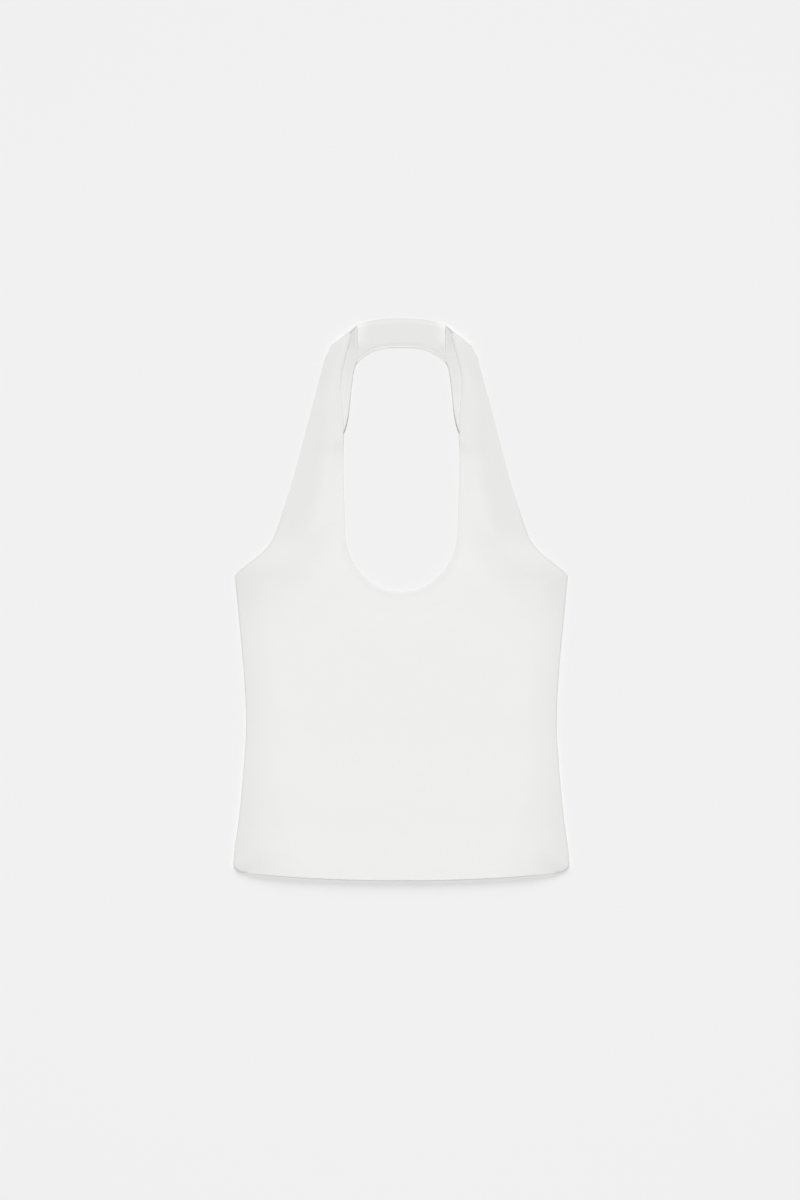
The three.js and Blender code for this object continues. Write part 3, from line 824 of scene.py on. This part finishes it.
def thread_material(finish):
    """Spun sewing thread: a slight twist along it."""
    material = plain_material("thread", finish.thread, 0.7)
    tree = material.node_tree
    coordinates = node_at(tree, "ShaderNodeTexCoord")
    twist = node_at(tree, "ShaderNodeTexWave", bands_direction="DIAGONAL")
    twist.inputs["Scale"].default_value = 900.0
    tree.links.new(coordinates.outputs["Object"], twist.inputs["Vector"])
    bump = node_at(tree, "ShaderNodeBump")
    bump.inputs["Strength"].default_value = 0.4
    bump.inputs["Distance"].default_value = 0.0001
    tree.links.new(twist.outputs["Fac"], bump.inputs["Height"])
    tree.links.new(bump.outputs["Normal"], tree.nodes["Principled BSDF"].inputs["Normal"])
    return material


def fabric(scene):
    """The outside and the inside of the jersey, made once."""
    finish = scene.halter_finish
    colours = {"knit_outside": finish.outside, "knit_inside": finish.inside}
    return [
        bpy.data.materials.get(name) or jersey_material(name, colour, finish)
        for name, colour in colours.items()
    ]


def stitch_tree(material):
    """Geometry nodes: small thread stitches, evenly spaced along a line and lying along it."""
    tree = bpy.data.node_groups.new("seam_stitches", "GeometryNodeTree")
    face = tree.interface
    face.new_socket("Geometry", in_out="INPUT", socket_type="NodeSocketGeometry")
    for name in ("Pitch", "Length", "Thickness", "Unevenness"):
        face.new_socket(name, in_out="INPUT", socket_type="NodeSocketFloat")
    face.new_socket("Seed", in_out="INPUT", socket_type="NodeSocketInt")
    face.new_socket("Geometry", in_out="OUTPUT", socket_type="NodeSocketGeometry")
    start = tree.nodes.new("NodeGroupInput")
    end = tree.nodes.new("NodeGroupOutput")
    link = tree.links.new

    line = tree.nodes.new("GeometryNodeMeshToCurve")
    link(start.outputs["Geometry"], line.inputs["Mesh"])
    spaced = node_at(tree, "GeometryNodeResampleCurve", mode="LENGTH")
    link(line.outputs["Curve"], spaced.inputs["Curve"])
    link(start.outputs["Pitch"], spaced.inputs["Length"])
    tangent = tree.nodes.new("GeometryNodeInputTangent")
    turn = node_at(tree, "FunctionNodeAlignRotationToVector", axis="Z")
    link(tangent.outputs["Tangent"], turn.inputs["Vector"])

    grain = tree.nodes.new("GeometryNodeMeshUVSphere")
    grain.inputs["Segments"].default_value = 8
    grain.inputs["Rings"].default_value = 6
    grain.inputs["Radius"].default_value = 0.5
    shape = tree.nodes.new("ShaderNodeCombineXYZ")
    for axis, name in zip("XYZ", ("Thickness", "Thickness", "Length")):
        link(start.outputs[name], shape.inputs[axis])
    placed = tree.nodes.new("GeometryNodeInstanceOnPoints")
    link(spaced.outputs["Curve"], placed.inputs["Points"])
    link(grain.outputs["Mesh"], placed.inputs["Instance"])
    link(turn.outputs["Rotation"], placed.inputs["Rotation"])
    link(shape.outputs["Vector"], placed.inputs["Scale"])

    uneven = node_at(tree, "FunctionNodeRandomValue", data_type="FLOAT_VECTOR")
    spread = node_at(tree, "ShaderNodeVectorMath", operation="SCALE")
    spread.inputs[0].default_value = (1, 1, 1)
    link(start.outputs["Unevenness"], spread.inputs["Scale"])
    other = node_at(tree, "ShaderNodeVectorMath", operation="SCALE")
    other.inputs[0].default_value = (-1, -1, -1)
    link(start.outputs["Unevenness"], other.inputs["Scale"])
    link(other.outputs["Vector"], uneven.inputs["Min"])
    link(spread.outputs["Vector"], uneven.inputs["Max"])
    link(start.outputs["Seed"], uneven.inputs["Seed"])
    moved = tree.nodes.new("GeometryNodeTranslateInstances")
    link(placed.outputs["Instances"], moved.inputs["Instances"])
    link(uneven.outputs["Value"], moved.inputs["Translation"])

    real = tree.nodes.new("GeometryNodeRealizeInstances")
    link(moved.outputs["Instances"], real.inputs["Geometry"])
    finished = tree.nodes.new("GeometryNodeSetMaterial")
    finished.inputs["Material"].default_value = material
    link(real.outputs["Geometry"], finished.inputs["Geometry"])
    link(finished.outputs["Geometry"], end.inputs["Geometry"])
    return tree


def line_object(name, lines):
    """A mesh of plain lines, each given as points in metres."""
    points = [tuple(point) for line in lines for point in line]
    edges = []
    first = 0
    for line in lines:
        edges += [(first + k, first + k + 1) for k in range(len(line) - 1)]
        first += len(line)
    mesh = bpy.data.meshes.new(name)
    mesh.from_pydata(points, edges, [])
    holder = bpy.data.objects.new(name, mesh)
    bpy.context.scene.collection.objects.link(holder)
    return holder


def seam_lines():
    """The seams that stitches lie in: both side seams and both ends of the neck band."""
    side = plan_curve(SIDE_SEAM, np.linspace(0, 1, SEAM_POINTS["side"]))
    corner = hem_corner(np.linspace(STITCH_START, 1, SEAM_POINTS["corner"]) * RIGHT_ANGLE)
    side = np.vstack([corner[:-1], side])
    side[:, 0] -= CLOTH * 0.5
    side_line = spatial(side, np.full(len(side), SEAM_HEIGHT))

    low, high = band_low_up(BAND.half) + STITCH_INSET, band_top_up(BAND.half) - STITCH_INSET
    ups = np.linspace(low, high, SEAM_POINTS["band"])
    seam = np.stack([np.full(len(ups), BAND.half), ups], axis=1)
    above_foot = ease((ups - BAND_SEAM_RIDGE.foot_up) / BAND_SEAM_RIDGE.foot_width)
    band_line = spatial(seam, CLOTH - STITCH_SINK + 0.5 * BAND_SEAM_RIDGE.height * above_foot)
    lines = []
    for line in (side_line, band_line):
        lines += [line * MM, line * (-1, 1, 1) * MM]
    return lines


def build_stitches(cut, finish):
    holder = line_object("seam_lines", seam_lines())
    tree = stitch_tree(thread_material(finish))
    modifier = holder.modifiers.new("stitches", "NODES")
    modifier.node_group = tree
    sizes = {
        "Pitch": cut.stitch_pitch,
        "Length": cut.stitch_length,
        "Thickness": cut.thread_width,
        "Unevenness": cut.stitch_unevenness,
        "Seed": cut.stitch_seed,
    }
    for item in tree.interface.items_tree:
        if item.in_out == "INPUT" and item.name in sizes:
            modifier[item.identifier] = sizes[item.name]
    evaluated = holder.evaluated_get(bpy.context.evaluated_depsgraph_get())
    mesh = bpy.data.meshes.new_from_object(evaluated)
    mesh.name = "seam_stitches"
    for face in mesh.polygons:
        face.use_smooth = True
    bpy.data.objects.remove(holder)
    piece = bpy.data.objects.new("seam_stitches", mesh)
    bpy.context.scene.collection.objects.link(piece)
    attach(piece, "root")


def area_light(name, place, size, power, colour):
    data = bpy.data.lights.new(name, "AREA")
    data.shape = "DISK"
    data.size = size
    data.energy = power
    data.color = colour
    light = bpy.data.objects.new(name, data)
    light.location = place
    light.rotation_euler = (-Vector(place)).to_track_quat("-Z", "Y").to_euler()
    bpy.context.scene.collection.objects.link(light)


def build_stage(studio):
    mesh = bpy.data.meshes.new("floor")
    reach = studio.floor_size / 2
    corners = [(-reach, -reach, 0), (reach, -reach, 0), (reach, reach, 0), (-reach, reach, 0)]
    mesh.from_pydata(corners, [], [(0, 1, 2, 3)])
    mesh.materials.append(plain_material("floor", studio.floor_colour, 0.9))
    floor = bpy.data.objects.new("floor", mesh)
    bpy.context.scene.collection.objects.link(floor)

    area_light("overhead", (0, 0, studio.overhead_height), studio.overhead_size,
               studio.overhead_power, studio.light_colour)
    key = bpy.data.lights.new("key", "SUN")
    key.energy = studio.key_strength
    key.angle = studio.key_spread
    key.color = studio.light_colour
    lamp = bpy.data.objects.new("key", key)
    lamp.rotation_euler = (studio.key_elevation - RIGHT_ANGLE, 0, 0)
    bpy.context.scene.collection.objects.link(lamp)

    scene = bpy.context.scene
    scene.world = bpy.data.worlds.new("studio")
    scene.world.use_nodes = True
    background = scene.world.node_tree.nodes["Background"]
    background.inputs["Color"].default_value = (*studio.fill_colour, 1)
    background.inputs["Strength"].default_value = studio.fill_strength
    scene.view_settings.view_transform = "Standard"

    data = bpy.data.cameras.new("camera")
    data.lens = studio.lens
    data.sensor_width = studio.sensor
    camera = bpy.data.objects.new("camera", data)
    distance = studio.view_height / 2 / (studio.sensor / 2 / studio.lens)
    camera.location = (studio.view_centre[0], studio.view_centre[1], distance)
    scene.collection.objects.link(camera)
    scene.camera = camera


class HalterCut(bpy.types.PropertyGroup):
    """Sizes of the cloth and its sewing"""

    edge_round: FloatProperty(
        name="Edge rounding", description="How far in from an edge the cloth is rounded",
        default=0.3 * MM, min=0.1 * MM, max=2 * MM, unit="LENGTH")
    crease_depth: FloatProperty(
        name="Crease depth", description="Depth of the soft creases, as a share of the drawn one",
        default=1.0, min=0.0, max=3.0, subtype="FACTOR")
    stitch_pitch: FloatProperty(
        name="Stitch pitch", description="Distance from one seam stitch to the next",
        default=2.5 * MM, unit="LENGTH")
    stitch_length: FloatProperty(
        name="Stitch length", description="Length of the thread that shows in a seam stitch",
        default=1.9 * MM, unit="LENGTH")
    thread_width: FloatProperty(
        name="Thread width", description="Thickness of the sewing thread",
        default=0.35 * MM, unit="LENGTH")
    stitch_unevenness: FloatProperty(
        name="Stitch unevenness", description="How far a seam stitch strays from its line",
        default=0.08 * MM, unit="LENGTH")
    stitch_seed: IntProperty(
        name="Stitch seed", description="Seed of the stitches' unevenness", default=7)


class HalterFinish(bpy.types.PropertyGroup):
    """Colours and surface of the jersey"""

    outside: FloatVectorProperty(
        name="Outside", description="Colour of the jersey's outside",
        default=(0.889, 0.896, 0.878), subtype="COLOR", min=0, max=1)
    inside: FloatVectorProperty(
        name="Inside", description="Colour of the jersey's inside",
        default=(0.874, 0.877, 0.857), subtype="COLOR", min=0, max=1)
    thread: FloatVectorProperty(
        name="Thread", description="Colour of the sewing thread",
        default=(0.86, 0.86, 0.83), subtype="COLOR", min=0, max=1)
    roughness: FloatProperty(
        name="Roughness", description="Roughness of the cloth", default=0.92, subtype="FACTOR")
    sheen: FloatProperty(
        name="Sheen", description="Weight of the cloth's soft sheen", default=0.06,
        subtype="FACTOR")
    mottle: FloatProperty(
        name="Mottle", description="Share by which the yarn's colour varies", default=0.02,
        subtype="FACTOR")
    wale_pitch: FloatProperty(
        name="Wale pitch", description="Distance from one column of knit stitches to the next",
        default=0.62 * MM, unit="LENGTH")
    course_pitch: FloatProperty(
        name="Course pitch", description="Distance from one row of knit stitches to the next",
        default=0.45 * MM, unit="LENGTH")
    knit_depth: FloatProperty(
        name="Knit depth", description="Strength of the knit's relief", default=0.35,
        subtype="FACTOR")


class HalterStudio(bpy.types.PropertyGroup):
    """Floor, lights and camera"""

    floor_size: FloatProperty(
        name="Floor size", description="Side of the square floor", default=24.0, unit="LENGTH")
    floor_colour: FloatVectorProperty(
        name="Floor", description="Colour of the floor", default=(0.9, 0.9, 0.9),
        subtype="COLOR", min=0, max=1)
    light_colour: FloatVectorProperty(
        name="Light", description="Colour of the lights", default=(1, 1, 1), subtype="COLOR",
        min=0, max=1)
    overhead_height: FloatProperty(
        name="Overhead height", description="Height of the overhead light", default=7.2,
        unit="LENGTH")
    overhead_size: FloatProperty(
        name="Overhead size", description="Width of the overhead light", default=3.4,
        unit="LENGTH")
    overhead_power: FloatProperty(
        name="Overhead power", description="Power of the overhead light", default=311.0,
        unit="POWER")
    key_elevation: FloatProperty(
        name="Key elevation", description="Angle of the light beyond the neck above the floor",
        default=math.radians(31), subtype="ANGLE")
    key_spread: FloatProperty(
        name="Key spread", description="Angle that the light beyond the neck fills",
        default=math.radians(36), subtype="ANGLE")
    key_strength: FloatProperty(
        name="Key strength", description="Strength of the light beyond the neck", default=1.29)
    fill_colour: FloatVectorProperty(
        name="Fill", description="Colour of the light from all round", default=(1, 1, 1),
        subtype="COLOR", min=0, max=1)
    fill_strength: FloatProperty(
        name="Fill strength", description="Strength of the light from all round", default=0.19)
    lens: FloatProperty(
        name="Lens", description="The camera's focal length in millimetres", default=200.0)
    sensor: FloatProperty(
        name="Sensor", description="The camera's sensor height in millimetres", default=36.0)
    view_height: FloatProperty(
        name="View height", description="Length of floor from the picture's foot to its top",
        default=1.2, unit="LENGTH")
    view_centre: FloatVectorProperty(
        name="View centre", description="Place on the floor at the picture's middle", size=2,
        default=(-1.4 * MM, -0.75 * MM), unit="LENGTH")


class HALTER_OT_front(bpy.types.Operator):
    """Build the front with its straps, folds and returns"""

    bl_idname = "halter.front"
    bl_label = "Front"

    def execute(self, context):
        build_front(context.scene.halter_cut, fabric(context.scene))
        return {"FINISHED"}


class HALTER_OT_back(bpy.types.Operator):
    """Build the back panel"""

    bl_idname = "halter.back"
    bl_label = "Back"

    def execute(self, context):
        build_back(context.scene.halter_cut, fabric(context.scene))
        return {"FINISHED"}


class HALTER_OT_band(bpy.types.Operator):
    """Build the neck band"""

    bl_idname = "halter.band"
    bl_label = "Neck band"

    def execute(self, context):
        build_band(context.scene.halter_cut, fabric(context.scene)[::-1])
        return {"FINISHED"}


class HALTER_OT_stitches(bpy.types.Operator):
    """Sew the side seams and the neck band's seams"""

    bl_idname = "halter.stitches"
    bl_label = "Seam stitches"

    def execute(self, context):
        build_stitches(context.scene.halter_cut, context.scene.halter_finish)
        return {"FINISHED"}


class HALTER_OT_stage(bpy.types.Operator):
    """Set up the floor, the lights and the camera"""

    bl_idname = "halter.stage"
    bl_label = "Stage"

    def execute(self, context):
        build_stage(context.scene.halter_studio)
        return {"FINISHED"}


class HALTER_PT_sidebar(bpy.types.Panel):
    """The halter top's pieces, in the order in which they are built"""

    bl_idname = "HALTER_PT_sidebar"
    bl_label = "Halter Neck Top"
    bl_space_type = "VIEW_3D"
    bl_region_type = "UI"
    bl_category = "Halter Top"

    def draw(self, context):
        for operator in OPERATORS:
            self.layout.operator(operator.bl_idname)


GROUPS = {"halter_cut": HalterCut, "halter_finish": HalterFinish, "halter_studio": HalterStudio}
OPERATORS = [HALTER_OT_back, HALTER_OT_front, HALTER_OT_band, HALTER_OT_stitches, HALTER_OT_stage]
CLASSES = [*GROUPS.values(), *OPERATORS, HALTER_PT_sidebar]


def register():
    for cls in CLASSES:
        bpy.utils.register_class(cls)
    for name, group in GROUPS.items():
        setattr(bpy.types.Scene, name, PointerProperty(type=group))


def unregister():
    for name in GROUPS:
        delattr(bpy.types.Scene, name)
    for cls in reversed(CLASSES):
        bpy.utils.unregister_class(cls)


def main():
    register()
    bpy.ops.halter.back()
    bpy.ops.halter.front()
    bpy.ops.halter.band()
    bpy.ops.halter.stitches()
    bpy.ops.halter.stage()


if __name__ == "__main__":
    main()
